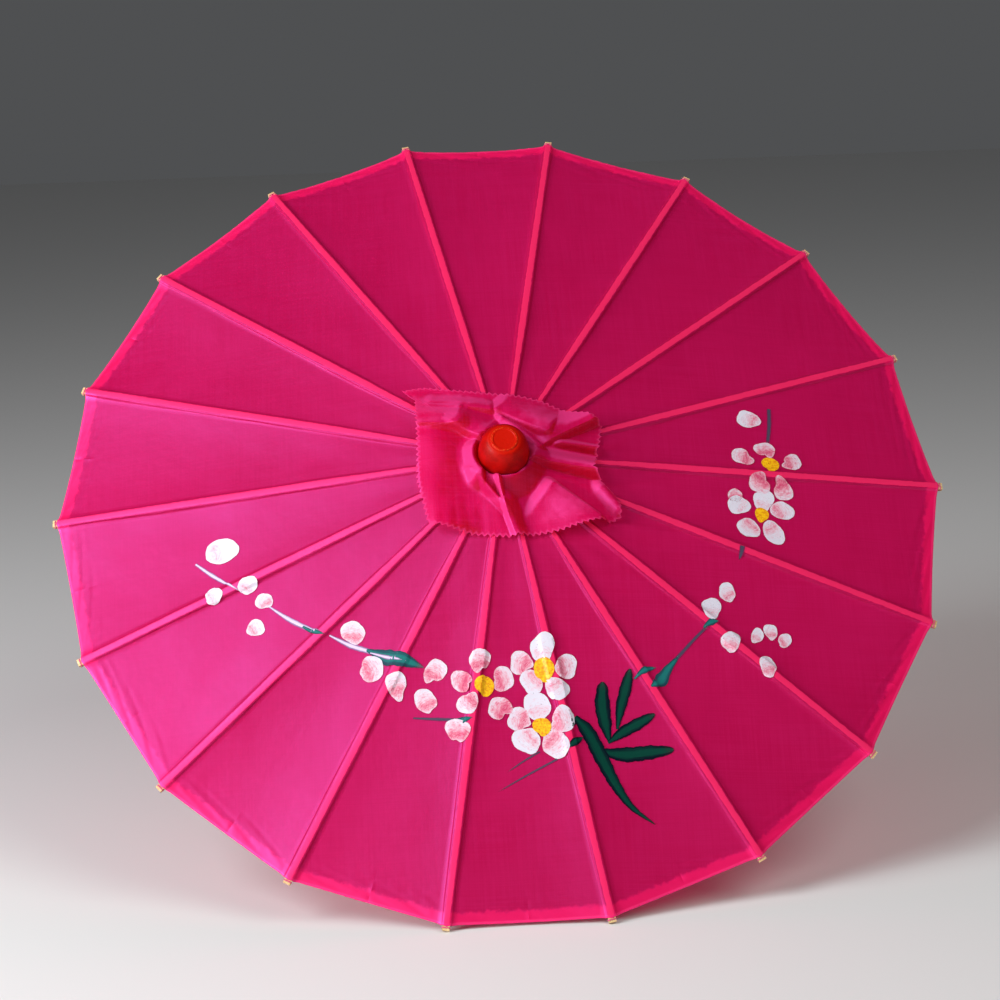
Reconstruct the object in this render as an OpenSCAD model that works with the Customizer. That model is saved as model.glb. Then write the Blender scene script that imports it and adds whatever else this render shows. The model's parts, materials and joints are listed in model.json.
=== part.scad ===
// Small bamboo-framed parasol with a cloth cover, standing open on two rib tips and the end of its grip.
// Every piece is drawn in the parasol's own frame and then laid down by posed(). In the parasol's own frame
// Z runs along the shaft towards the finial, and zero is the point where the tops of all ribs would meet.

/* [Canopy] */
// Distance from the shaft's axis to the rib tips
canopy_r = 281; // [270:0.5:290]
// Angle by which the open ribs fall away from square to the shaft
rib_slope = 13; // [12:0.5:15]
// Sag of the cloth between two ribs at the rim
cloth_sag = 3; // [0:0.5:5]
// Thickness of the cloth's closed solid
cloth_t = 0.7; // [0.5:0.1:0.9]
// How far the rib tips stand out of the cloth
tip_out = 3; // [2:0.5:5]

/* [Ribs] */
// Number of ribs, with as many stretchers
rib_count = 18; // [12:2:18]
// Width of a rib in the hub's slot
rib_root_w = 2.2; // [1.8:0.1:2.3]
// Width of a rib where it is split for its stretcher
rib_mid_w = 5; // [4.6:0.1:5.2]
// Width of a rib at its tip
rib_tip_w = 4.4; // [3.6:0.1:4.8]
// Distance from the hub pivot to the stretcher's pivot, and the stretcher's own length between pivots
arm = 120; // [115:1:125]
// Thickness of a stretcher across the slot it works in
stretcher_t = 1.8; // [1.6:0.1:2]
// Height of a stretcher
stretcher_h = 2.8; // [2.4:0.1:3]

/* [Shaft and grip] */
// Distance from the ribs' meeting point to the end of the grip
handle_l = 400; // [390:1:420]
// Diameter of the shaft
shaft_d = 9.5; // [9:0.1:10]
// Diameter of the grip's plain end
grip_d = 17; // [16:0.5:19]
// Length of the grip
grip_l = 78; // [70:1:85]
// Length of the grip's plain end
grip_plain_l = 50; // [40:1:54]

/* [Hub and runner] */
// Diameter of the slotted heads of the hub and the runner
head_d = 29; // [28:0.5:30]
// Radius of the circle on which the ribs and the stretchers turn
pivot_r = 12; // [11.8:0.1:12.4]
// Angle between a folded rib and the shaft
folded_angle = 4; // [4:0.5:6]

/* [Finial and collar] */
// Widest diameter of the finial
finial_d = 31.2; // [30:0.2:32]
// Diameter of the finial's flat top
finial_top_d = 17; // [15:0.5:19]
// Height of the finial above its rim
finial_h = 22; // [20:0.5:25]
// Width of the collar cloth
collar_w = 118; // [100:1:130]
// Height of the collar cloth, down the face of the canopy
collar_l = 106; // [90:1:120]

/* [Hidden] */
fine = 64;
gap = 0.02;             // between pieces that are glued or pinned to each other
fit = 0.08;             // radial clearance of a running fit
side_play = 0.3;        // each side of a stretcher in its slot
clear = 0.35;           // between the cloth and what it lies on
shaft_r = shaft_d / 2;
head_r = head_d / 2;
grip_r = grip_d / 2;
grip_round = 2;         // rounding of the grip's end
half_pitch = 180 / rib_count;

// A rib's own frame has the hub pivot at zero, X along the rib and Z towards the cloth.
rib_up = 1.7;           // from the pivot line to the rib's top
rib_low_root = 1.7;     // from the pivot line to its underside at the root
rib_low_mid = 2.3;      // the same at the split
rib_low_tip = 1.1;      // and at the tip
rib_l = (canopy_r - pivot_r) / cos(rib_slope);
split_in = 11;          // the split's reach towards the hub
split_out = 32;         // and towards the tip
pin_r = 0.6;            // pin through the split, on which the stretcher turns
wire_r = 0.45;          // wire through the rib roots
root_hole_r = 0.8;      // hole in the rib's root, which the wire threads

hub_pivot_z = -pivot_r * tan(rib_slope) - rib_up / cos(rib_slope);
runner_z = hub_pivot_z - 2 * arm * sin(rib_slope);
closed_runner_z = hub_pivot_z - 2 * arm * cos(folded_angle);

hub_slot_r = 9.6;       // bottom of the hub's slots
hub_slot_w = rib_root_w + 0.4;
hub_bottom_z = -13;
hub_neck_r = 8;
hub_neck_z = -22;
runner_slot_r = 10;     // bottom of the runner's slots
runner_slot_w = stretcher_t + 2 * side_play;
runner_ring_r = 9.6;    // the runner's tie wire, just inside the stretchers' ends
runner_barrel_r = 8.2;
runner_head_up = 5;     // from the runner's pivot circle to its top
runner_head_down = 6;
runner_l = 38;          // from the pivot circle to the runner's lower end
groove_half = 0.65;     // half the height of the grooves that hold the tie wires

shaft_top_z = 14;
catch_z = runner_z - runner_l - 0.8;    // the catch's shoulder, just under the runner
catch_l = 28;
catch_w = 1.6;
catch_out = 2;          // how far the catch stands out of the shaft
catch_in = 1;           // the catch's back, from the shaft's axis
catch_travel = 2.4;
catch_slot_w = 2.2;

collar_clear = clear + cloth_t + clear;
collar_t = 1;
collar_hole_r = 7;
canopy_hole_r = 6;
finial_seat = collar_clear + collar_t + 0.3;
finial_rim_drop = finial_d / 2 * tan(rib_slope);

// The parasol rests on the lower corners of its two lowest rib tips and on the rounded end of the grip.
tip_v = (canopy_r - rib_low_tip * sin(rib_slope)) * cos(half_pitch) + rib_tip_w / 2 * sin(half_pitch);
tip_z = hub_pivot_z - rib_l * sin(rib_slope) - rib_low_tip * cos(rib_slope);
rest_a = tip_z + handle_l - grip_round;
rest_b = tip_v - (grip_r - grip_round);
tilt = atan2(rest_b, rest_a) - asin(grip_round / norm([rest_a, rest_b]));
apex_z = tip_v * cos(tilt) - tip_z * sin(tilt);

// The front of the part is at the same tips' upper corners, and its back at the end of the grip.
front_v = (canopy_r + rib_up * sin(rib_slope)) * cos(half_pitch) + rib_tip_w / 2 * sin(half_pitch);
front_z = hub_pivot_z - rib_l * sin(rib_slope) + rib_up * cos(rib_slope);
front_y = -front_v * sin(tilt) - front_z * cos(tilt);
back_y = (handle_l - grip_round) * cos(tilt) + (grip_r - grip_round) * sin(tilt) + grip_round;
apex_y = -(front_y + back_y) / 2;

// Lays a piece drawn in the parasol's own frame down in its resting place
module posed() {
    translate([0, apex_y, apex_z]) rotate([90 - tilt, 0, 0]) children();
}

// Turns a piece drawn along +X to stand in the plane of rib k, where rib 1 is the lowest on the +X side
module at_rib(k) {
    rotate([0, 0, (2 * k - 1) * half_pitch - 90]) children();
}

module slots(inner_r, w, z_low, z_high) {
    for (k = [1:rib_count])
        at_rib(k) translate([inner_r, -w / 2, z_low]) cube([head_r, w, z_high - z_low]);
}

// ---- shaft and grip ----

module shaft() {
    color("burlywood") posed() difference() {
        translate([0, 0, -handle_l + 18]) cylinder(h = handle_l - 18 + shaft_top_z, r = shaft_r, $fn = fine);
        // slot for the catch
        translate([-catch_slot_w / 2, -catch_travel + catch_in - 0.8, catch_z - catch_l - 1])
            cube([catch_slot_w, shaft_d, catch_l + 1.6]);
    }
}

function arc(cx, cy, r, from, to, n = 8) =
    [for (i = [0:n]) let (a = from + (to - from) * i / n) [cx + r * cos(a), cy + r * sin(a)]];

module grip() {
    assert(closed_runner_z - runner_l > grip_l - handle_l, "the closed runner meets the grip");
    bead_r = 3;
    bead_z = grip_plain_l + bead_r + 2;
    neck_z = bead_z + bead_r + 2;
    color("peru") posed() translate([0, 0, -handle_l]) difference() {
        rotate_extrude($fn = fine) polygon(concat(
            [[0, 0]],
            arc(grip_r - grip_round, grip_round, grip_round, -90, 0),
            [[grip_r, grip_plain_l], [grip_r - 1.2, grip_plain_l + 1]],
            arc(grip_r - 1.2, bead_z, bead_r, -80, 80),
            [[grip_r - 1.2, neck_z], [grip_r, neck_z + 1], [grip_r, neck_z + 5], [shaft_r + 1.4, grip_l],
             [0, grip_l]]));
        translate([0, 0, 18 - gap]) cylinder(h = grip_l, r = shaft_r + gap, $fn = fine);
    }
}

module catch() {
    color("silver") posed() translate([-catch_w / 2, 0, 0])
        rotate([90, 0, 90]) linear_extrude(catch_w) polygon([
            [catch_in, catch_z - catch_l], [catch_in + 1.8, catch_z - catch_l],
            [shaft_r - 0.4, catch_z - catch_l + 10], [shaft_r + catch_out, catch_z - 2],
            [shaft_r + catch_out, catch_z], [catch_in, catch_z]]);
}

// ---- hub, finial and runner ----

module hub() {
    color("tan") posed() difference() {
        rotate_extrude($fn = fine) polygon([
            [shaft_r + gap, hub_neck_z], [hub_neck_r - 1, hub_neck_z], [hub_neck_r, hub_neck_z + 1],
            [hub_neck_r, hub_bottom_z], [head_r - 1, hub_bottom_z], [head_r, hub_bottom_z + 1],
            [head_r, hub_pivot_z - groove_half], [pivot_r - 0.7, hub_pivot_z - groove_half],
            [pivot_r - 0.7, hub_pivot_z + groove_half], [head_r, hub_pivot_z + groove_half],
            [head_r, -head_r * tan(rib_slope) - 0.1], [shaft_r + gap, -(shaft_r + gap) * tan(rib_slope) - 0.1]]);
        slots(hub_slot_r, hub_slot_w, hub_bottom_z - 1, 1);
    }
}

module tie_wire(ring_r, z) {
    color("silver") posed() translate([0, 0, z])
        rotate_extrude($fn = fine) translate([ring_r, 0]) circle(r = wire_r, $fn = 24);
}

module finial() {
    wide_z = finial_seat - finial_rim_drop + 3;
    top_z = finial_seat - finial_rim_drop + finial_h;
    side = [for (i = [0:12]) let (a = 90 * i / 12)
        [finial_top_d / 2 + (finial_d - finial_top_d) / 2 * cos(a), wide_z + (top_z - 0.8 - wide_z) * sin(a)]];
    color("orangered") posed() difference() {
        rotate_extrude($fn = fine) polygon(concat(
            [[0, finial_seat], [finial_d / 2 - 0.6, finial_seat - finial_rim_drop]],
            [for (p = side) p],
            [[finial_top_d / 2 - 0.6, top_z], [finial_top_d / 2 - 1.6, top_z], [finial_top_d / 2 - 2, top_z - 0.3],
             [0, top_z - 0.5]]));
        translate([0, 0, -1]) cylinder(h = shaft_top_z + 1 + gap, r = shaft_r + gap, $fn = fine);
    }
}

module runner() {
    color("tan") posed() translate([0, 0, runner_z]) difference() {
        rotate_extrude($fn = fine) polygon([
            [shaft_r + fit, -runner_l], [runner_barrel_r + 0.8, -runner_l], [runner_barrel_r + 1.6, -runner_l + 1],
            [runner_barrel_r + 1.6, -runner_l + 4], [runner_barrel_r, -runner_l + 6],
            [runner_barrel_r, -runner_head_down], [head_r - 1, -runner_head_down], [head_r, 1 - runner_head_down],
            [head_r, -groove_half], [runner_ring_r - wire_r - gap, -groove_half],
            [runner_ring_r - wire_r - gap, groove_half], [head_r, groove_half],
            [head_r, runner_head_up - 1], [head_r - 1, runner_head_up], [shaft_r + fit, runner_head_up]]);
        slots(runner_slot_r, runner_slot_w, -runner_head_down - 1, runner_head_up + 1);
    }
}

// ---- ribs and stretchers ----

module rib(k) {
    color("wheat") posed() at_rib(k) translate([pivot_r, 0, hub_pivot_z]) rotate([0, rib_slope, 0]) {
        difference() {
            intersection() {
                // side view
                translate([0, rib_mid_w, 0]) rotate([90, 0, 0]) linear_extrude(2 * rib_mid_w) union() {
                    circle(r = rib_up, $fn = fine);
                    polygon([[0, -rib_low_root], [arm, -rib_low_mid], [rib_l, -rib_low_tip], [rib_l, rib_up],
                             [0, rib_up]]);
                }
                // top view
                translate([0, 0, -rib_mid_w]) linear_extrude(2 * rib_mid_w) polygon([
                    [-2 * rib_up, -rib_root_w / 2], [4, -rib_root_w / 2], [95, -rib_mid_w / 2],
                    [arm + 40, -rib_mid_w / 2], [rib_l, -rib_tip_w / 2], [rib_l, rib_tip_w / 2],
                    [arm + 40, rib_mid_w / 2], [95, rib_mid_w / 2], [4, rib_root_w / 2],
                    [-2 * rib_up, rib_root_w / 2]]);
            }
            // split for the stretcher
            translate([arm - split_in, -runner_slot_w / 2, -rib_mid_w])
                cube([split_in + split_out, runner_slot_w, 2 * rib_mid_w]);
            // hole for the tie wire
            translate([0, rib_mid_w, 0]) rotate([90, 0, 0]) cylinder(h = 2 * rib_mid_w, r = root_hole_r, $fn = 32);
            // holes for the pin
            translate([arm, rib_mid_w, 0]) rotate([90, 0, 0]) cylinder(h = 2 * rib_mid_w, r = pin_r + gap, $fn = 32);
        }
        color("silver") translate([arm, rib_mid_w / 2, 0]) rotate([90, 0, 0])
            cylinder(h = rib_mid_w, r = pin_r, $fn = 32);
    }
}

module stretcher(k) {
    color("wheat") posed() at_rib(k)
        translate([pivot_r + arm * cos(rib_slope), stretcher_t / 2, hub_pivot_z - arm * sin(rib_slope)])
            rotate([90, -rib_slope, 0]) linear_extrude(stretcher_t) difference() {
                union() {
                    circle(r = stretcher_h / 2, $fn = 48);
                    translate([-arm, 0]) circle(r = stretcher_h / 2, $fn = 48);
                    translate([-arm, -stretcher_h / 2]) square([arm, stretcher_h]);
                }
                circle(r = pin_r + fit, $fn = 32);
            }
}

// ---- cloth ----

// Closes two matching grids of points, an upper and a lower one, into a ring-shaped sheet
module sheet(upper, lower) {
    rings = len(upper);
    around = len(upper[0]);
    half = rings * around;
    points = concat([for (ring = upper) for (p = ring) p], [for (ring = lower) for (p = ring) p]);
    function id(layer, i, j) = layer * half + i * around + j % around;
    polyhedron(points, concat(
        [for (i = [0:rings - 2]) for (j = [0:around - 1]) each [
            [id(0, i, j), id(0, i + 1, j), id(0, i + 1, j + 1)], [id(0, i, j), id(0, i + 1, j + 1), id(0, i, j + 1)],
            [id(1, i, j), id(1, i + 1, j + 1), id(1, i + 1, j)], [id(1, i, j), id(1, i, j + 1), id(1, i + 1, j + 1)]]],
        [for (j = [0:around - 1]) each [
            [id(0, 0, j), id(0, 0, j + 1), id(1, 0, j + 1)], [id(0, 0, j), id(1, 0, j + 1), id(1, 0, j)],
            [id(0, rings - 1, j), id(1, rings - 1, j + 1), id(0, rings - 1, j + 1)],
            [id(0, rings - 1, j), id(1, rings - 1, j), id(1, rings - 1, j + 1)]]]));
}

rib_half = rib_mid_w / 2 + 0.7;
cloth_r = canopy_r - tip_out;

// A point of rib k's top line, r from the shaft's axis
function rib_line(k, r) = let (a = (2 * k - 1) * half_pitch) [r * sin(a), -r * cos(a), -r * tan(rib_slope)];

// Points around the cloth at rib radius r: flat over each rib, and sagging in between
function cloth_ring(r, lift) =
    let (edge = min(rib_half / (2 * r * sin(half_pitch)), 0.4))
    [for (k = [1:rib_count]) for (q = [0, edge, (edge + 0.5) / 2, 0.5, 1 - (edge + 0.5) / 2, 1 - edge])
        let (w = min(max((q - edge) / (1 - 2 * edge), 0), 1), sag = cloth_sag * pow(r / cloth_r, 1.5))
        (1 - q) * rib_line(k, r) + q * rib_line(k + 1, r) + [0, 0, lift - sag * 4 * w * (1 - w)]];

module canopy() {
    radii = [canopy_hole_r, 20, 60, 110, 165, 222, cloth_r];
    color("deeppink") posed() sheet(
        [for (r = radii) cloth_ring(r, clear + cloth_t)],
        [for (r = radii) cloth_ring(r, clear)]);
}

module collar_patch() {
    steps = 72;
    function edge_r(a) = min(collar_w / 2 / max(abs(sin(a)), 0.01), collar_l / 2 / max(abs(cos(a)), 0.01));
    function ring(share, lift) = [for (j = [0:steps - 1])
        let (a = j * 360 / steps, r = collar_hole_r + share * (edge_r(a) - collar_hole_r))
        [r * sin(a), -r * cos(a), -r * tan(rib_slope) + lift]];
    shares = [0, 0.35, 0.7, 1];
    color("hotpink") posed() sheet(
        [for (s = shares) ring(s, collar_clear + collar_t)],
        [for (s = shares) ring(s, collar_clear)]);
}

// ---- nodes ----

function two(k) = k < 10 ? str("0", k) : str(k);
function rib_name(k) = str("rib_", two(k));
function stretcher_name(k) = str("stretcher_", two(k));

shaft();
grip();
catch();
hub();
tie_wire(pivot_r, hub_pivot_z);  // hub_tie_wire
finial();
runner();
tie_wire(runner_ring_r, runner_z);  // runner_tie_wire
canopy();
collar_patch();
for (k = [1:rib_count]) {
    rib(k);
    stretcher(k);
}
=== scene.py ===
import json
import math

import bpy
import numpy as np
from mathutils import Matrix, Vector


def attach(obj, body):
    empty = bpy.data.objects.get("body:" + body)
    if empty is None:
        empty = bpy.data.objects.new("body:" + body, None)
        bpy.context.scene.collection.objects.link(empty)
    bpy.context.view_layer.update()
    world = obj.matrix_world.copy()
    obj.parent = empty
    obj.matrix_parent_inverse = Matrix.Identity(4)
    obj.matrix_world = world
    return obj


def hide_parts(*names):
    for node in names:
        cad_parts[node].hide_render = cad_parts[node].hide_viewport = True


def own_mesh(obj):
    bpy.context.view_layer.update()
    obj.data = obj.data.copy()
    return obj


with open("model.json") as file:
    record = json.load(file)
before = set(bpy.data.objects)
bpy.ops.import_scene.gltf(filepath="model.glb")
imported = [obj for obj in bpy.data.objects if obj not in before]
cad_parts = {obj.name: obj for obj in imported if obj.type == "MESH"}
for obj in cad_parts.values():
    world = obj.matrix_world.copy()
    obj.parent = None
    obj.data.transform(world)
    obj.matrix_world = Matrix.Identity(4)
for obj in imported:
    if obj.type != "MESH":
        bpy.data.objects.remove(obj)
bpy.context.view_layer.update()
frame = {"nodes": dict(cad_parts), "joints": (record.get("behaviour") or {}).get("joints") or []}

# ---- the parasol's own frame, in mm: X to the right, Y up the face, Z out along the shaft ----

MM = 0.001
RIBS = 18
HALF_PITCH = math.radians(180 / RIBS)
SLOPE = math.radians(13)  # of the open ribs
HUB_PIVOT_Z = -4.515  # the circle on which the ribs turn, below the ribs' meeting point
CLOTH_R = 278.0  # rib radius at which the cloth ends
JOINT = {j["name"]: j for j in frame["joints"]}
NUMBERS = [f"{k:02d}" for k in range(1, RIBS + 1)]

X_AXIS = np.array([1.0, 0.0, 0.0])
Z_AXIS = -np.array(JOINT["runner_slide"]["axis"], float)
Y_AXIS = np.cross(Z_AXIS, X_AXIS)
HUB = np.mean([JOINT[f"rib_{n}_fold"]["pos_m"] for n in NUMBERS], axis=0)
APEX = HUB - HUB_PIVOT_Z * MM * Z_AXIS
AXES = np.stack([X_AXIS, Y_AXIS, Z_AXIS])
LOCAL = Matrix.Translation(APEX) @ Matrix(AXES.T.tolist()).to_4x4()


def place(points):
    """Points of the parasol's own frame, in mm, as points of the row frame, in metres."""
    return APEX + np.asarray(points, float) @ AXES * MM


def rib_direction(k):
    """The direction of rib k (1 to 18) across the face; rib 1 is the lowest on the right."""
    a = (2 * k - 1) * HALF_PITCH
    return np.array([math.sin(a), -math.cos(a)])


def smooth(t):
    """A smooth step from 0 to 1 as t goes from 0 to 1."""
    t = np.clip(t, 0, 1)
    return t * t * (3 - 2 * t)


def ripple(t, seed):
    """A smooth wavering line between about -1 and 1, the same each time."""
    waves = np.sin(t + 1.7 * seed) + 0.6 * np.sin(2.31 * t + 2.9 * seed) + 0.35 * np.sin(4.7 * t - 1.3 * seed)
    return waves / 1.6


# ---- the cloth's surface ----

RIB_STATIONS = (16, 107, 170, 281)
RIB_HALF_W = (1.1, 2.5, 2.5, 2.2)  # half a rib's width at those rib radii
STRIP_OVER = 0.25  # how far the glued strip reaches past the rib's side
STRIP_LIFT = 0.25  # the cloth over a rib's top
STRIP_DROP = 1.35  # how far it falls beside the rib
SAG = 2.4  # at the rim, half way between two ribs
SCALLOP = 0.5  # how far the rim curves in between two ribs
SCALLOP_FROM = 60.0  # rib radius inside which the cloth isn't drawn in
CORNER = 0.8  # how far the cloth is pulled out at a rib's tip
HEM = 7.0  # width of the turned-in hem
BRIDGED = (0, 0.4, 0.8, 1.2)  # paint lies as high as the cloth does at these distances towards the rib


def strip_half(r):
    """Half the width of the strip of cloth that is glued to a rib, whose own width changes along it."""
    return np.interp(r, RIB_STATIONS, RIB_HALF_W) + STRIP_OVER


def gore_half(r):
    """Half the distance between two ribs."""
    return r * math.sin(HALF_PITCH)


def scallop(r, s):
    """How far the cloth is drawn in, s mm from the nearer rib's line."""
    share = np.clip(s / gore_half(r), 0, 1)
    return SCALLOP * share * (2 - share) * smooth((r - SCALLOP_FROM) / (CLOTH_R - SCALLOP_FROM))


def strip_edge(r, seed):
    """Width of the cloth's step beside a rib, which wavers with the glue."""
    return 1.0 + 0.45 * ripple(r * 0.045, seed)


def cloth_height(r, s, k, side):
    """Height of the cloth over the ribs' tops, s mm from rib k's line towards its neighbour on that side."""
    seed = k + 0.37 * side
    gore = (k if side > 0 else k - 1) % RIBS
    half, edge = strip_half(r), strip_edge(r, seed)
    step = smooth((s - half) / edge)
    across = np.clip((s - half - edge) / np.maximum(gore_half(r) - half - edge, 0.1), 0, 1)
    drop = STRIP_DROP * (1 + 0.3 * ripple(r * 0.03, seed + 5) * (1 - smooth(across))) * smooth((r - 18) / 40)
    sag = SAG * (r / CLOTH_R) ** 1.5 * (1 + 0.15 * math.sin(2.1 * gore))
    bowl = sag * (1 - (1 - across) ** 2)
    # puckers run in from the hem, and are longest near the ribs
    along = s if side > 0 else 2 * gore_half(r) - s
    rim = CLOTH_R - r
    reach = 13 + 5 * ripple(along * 0.21, gore)
    band = smooth(1 - np.abs(rim - HEM + 1) / np.maximum(reach, 6))
    fade = smooth(across * 6)
    pucker = 0.5 * band * fade * ripple(along * 0.95 + rim * 0.55, gore + 3)
    # faint long waves where the cloth hangs slack
    slack = 0.35 * smooth(across * 2) * np.sin(r * 0.021 + gore * 1.9) * (r / CLOTH_R)
    return STRIP_LIFT - drop * step - bowl + pucker + slack


def cloth_point(r, s, k, side):
    """A point of the cloth, in the parasol's own frame."""
    here, there = rib_direction(k), rib_direction(k + side)
    chord = (there - here) / np.linalg.norm(there - here)
    r, s = np.broadcast_arrays(np.asarray(r, float), np.asarray(s, float))
    xy = r[..., None] * here + s[..., None] * chord
    middle = (here + there) / np.linalg.norm(here + there)
    corner = CORNER * smooth(1 - s / 7) * smooth((r - CLOTH_R + 14) / 14)
    xy = xy - scallop(r, s)[..., None] * middle + corner[..., None] * here
    z = -r * math.tan(SLOPE) + cloth_height(r, s, k, side)
    return np.concatenate([xy, z[..., None]], axis=-1)


def cloth_under(x, y):
    """(rib number, whether it is over the rib's strip, height of the cloth) at places on the face."""
    angle = np.mod(np.arctan2(x, -y), 2 * math.pi)
    # gore g lies between ribs g and g + 1
    gore = np.floor((angle + HALF_PITCH) / (2 * HALF_PITCH)).astype(int) % RIBS
    middle = gore * 2 * HALF_PITCH
    out = x * np.sin(middle) - y * np.cos(middle)
    over = x * np.cos(middle) + y * np.sin(middle)      # towards rib g + 1
    k = np.where(over > 0, gore + 1, gore)
    k = np.where(k < 1, k + RIBS, k)
    side = np.where(over > 0, -1, 1)
    r = out / math.cos(HALF_PITCH)
    for _ in range(3):
        r = (out + scallop(r, gore_half(r) - np.abs(over))) / math.cos(HALF_PITCH)
    s = gore_half(r) - np.abs(over)
    z = np.zeros_like(r)
    for number in range(1, RIBS + 1):
        for way in (-1, 1):
            here = (k == number) & (side == way)
            if here.any():
                near = [cloth_height(r[here], np.maximum(s[here] - by, 0), number, way) for by in BRIDGED]
                z[here] = np.max(near, axis=0)
    return k, s < strip_half(r) + 0.8, z - r * math.tan(SLOPE)


# ---- mesh making ----

def grid_faces(rows, columns, closed=False):
    """Faces of a grid of points in rows; closed joins the last column to the first."""
    last = columns if closed else columns - 1
    faces = []
    for i in range(rows - 1):
        for j in range(last):
            a, b = i * columns + j, i * columns + (j + 1) % columns
            faces.append((a, b, b + columns, a + columns))
    return faces


def make_piece(name, points, faces, layers=None, face_material=None):
    """A smooth mesh object from points of the parasol's own frame; layers are UV maps, given by point."""
    mesh = bpy.data.meshes.new(name)
    mesh.from_pydata(place(points).tolist(), [], faces)
    corner = np.zeros(len(mesh.loops), np.int32)
    mesh.loops.foreach_get("vertex_index", corner)
    for layer, values in (layers or {}).items():
        uv = mesh.uv_layers.new(name=layer)
        uv.data.foreach_set("uv", np.asarray(values, np.float32)[corner].ravel())
    if face_material is not None:
        mesh.polygons.foreach_set("material_index", face_material)
    mesh.shade_smooth()
    mesh.validate()
    piece = bpy.data.objects.new(name, mesh)
    bpy.context.scene.collection.objects.link(piece)
    return piece


# ---- material making ----

class Shader:
    """A node material, with short calls for the nodes that the finishes share."""

    def __init__(self, name):
        self.material = bpy.data.materials.new(name)
        self.material.use_nodes = True
        self.tree = self.material.node_tree
        self.tree.nodes.clear()
        self.output = self.tree.nodes.new("ShaderNodeOutputMaterial")

    def node(self, kind, inputs=(), **settings):
        made = self.tree.nodes.new("ShaderNode" + kind)
        for key, value in settings.items():
            setattr(made, key, value)
        for key, value in dict(inputs).items():
            self.feed(made.inputs[key], value)
        return made

    def feed(self, socket, value):
        if isinstance(value, bpy.types.NodeSocket):
            self.tree.links.new(value, socket)
        else:
            socket.default_value = value

    def finish(self, surface):
        self.tree.links.new(surface, self.output.inputs["Surface"])
        return self.material

    def local(self):
        """The place in the parasol's own frame, in mm."""
        inverse = LOCAL.inverted()
        where = self.node("TexCoord").outputs["Object"]
        return self.node("Mapping", {
            "Vector": where,
            "Location": tuple(inverse.to_translation() / MM),
            "Rotation": tuple(inverse.to_euler()),
            "Scale": (1 / MM, 1 / MM, 1 / MM),
        }).outputs["Vector"]

    def uv(self, layer):
        split = self.node("SeparateXYZ", {0: self.node("UVMap", uv_map=layer).outputs[0]})
        return split.outputs["X"], split.outputs["Y"]

    def split(self, vector):
        return self.node("SeparateXYZ", {0: vector}).outputs

    def join(self, x, y, z):
        return self.node("CombineXYZ", {0: x, 1: y, 2: z}).outputs[0]

    def math(self, operation, *values):
        return self.node("Math", dict(enumerate(values)), operation=operation).outputs[0]

    def add(self, a, b):
        return self.math("ADD", a, b)

    def less(self, a, b):
        return self.math("SUBTRACT", a, b)

    def times(self, a, b):
        return self.math("MULTIPLY", a, b)

    def length(self, x, y):
        return self.math("SQRT", self.add(self.times(x, x), self.times(y, y)))

    def step(self, value, start, end, low=0.0, high=1.0):
        """A smooth step from low to high as value goes from start to end."""
        return self.node("MapRange", {
            "Value": value, "From Min": start, "From Max": end, "To Min": low, "To Max": high,
        }, interpolation_type="SMOOTHSTEP").outputs["Result"]

    def stretch(self, vector, scale):
        return self.node("Mapping", {"Vector": vector, "Scale": scale}).outputs["Vector"]

    def noise(self, vector, scale, detail=3.0, roughness=0.55, distortion=0.0):
        return self.node("TexNoise", {
            "Vector": vector, "Scale": scale, "Detail": detail, "Roughness": roughness,
            "Distortion": distortion,
        }).outputs["Fac"]

    def mix(self, factor, a, b):
        return self.node("Mix", {0: factor, 6: a, 7: b}, data_type="RGBA").outputs[2]

    def ramp(self, factor, stops):
        made = self.node("ValToRGB", {"Fac": factor})
        elements = made.color_ramp.elements
        while len(elements) < len(stops):
            elements.new(0.5)
        for element, (at, colour) in zip(elements, stops):
            element.position, element.color = at, colour
        return made.outputs["Color"]

    def bump(self, height, distance, strength=1.0, normal=None):
        inputs = {"Height": height, "Distance": distance, "Strength": strength}
        if normal is not None:
            inputs["Normal"] = normal
        return self.node("Bump", inputs).outputs["Normal"]

    def principled(self, inputs):
        return self.node("BsdfPrincipled", inputs).outputs["BSDF"]

    def blend(self, factor, a, b):
        return self.node("MixShader", {0: factor, 1: a, 2: b}).outputs[0]


def linear(c):
    """Linear light for one screen value from 0 to 255."""
    return ((c / 255 + 0.055) / 1.055) ** 2.4 if c > 10 else c / 255 / 12.92


def rgb(red, green, blue):
    """A colour given as it looks on a screen."""
    return (linear(red), linear(green), linear(blue), 1.0)


THREAD = 0.45  # pitch of the cloth's weave, in mm
NYLON_GLINT = rgb(250, 136, 255)
NYLON_SHEEN = rgb(255, 110, 215)


def weave(s, where):
    """(height, slubs) of a plain weave: crossing threads, and thicker ones here and there."""
    waves = [s.node("TexWave", {"Vector": where, "Scale": 0.314 / THREAD, "Distortion": 0.3},
                    bands_direction=way).outputs["Fac"] for way in ("X", "Y")]
    slubs = [s.noise(s.stretch(where, scale), 1.0, 2.0) for scale in ((0.02, 1.3, 0.02), (1.3, 0.02, 0.02))]
    return s.times(*waves), s.add(*slubs)


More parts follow.
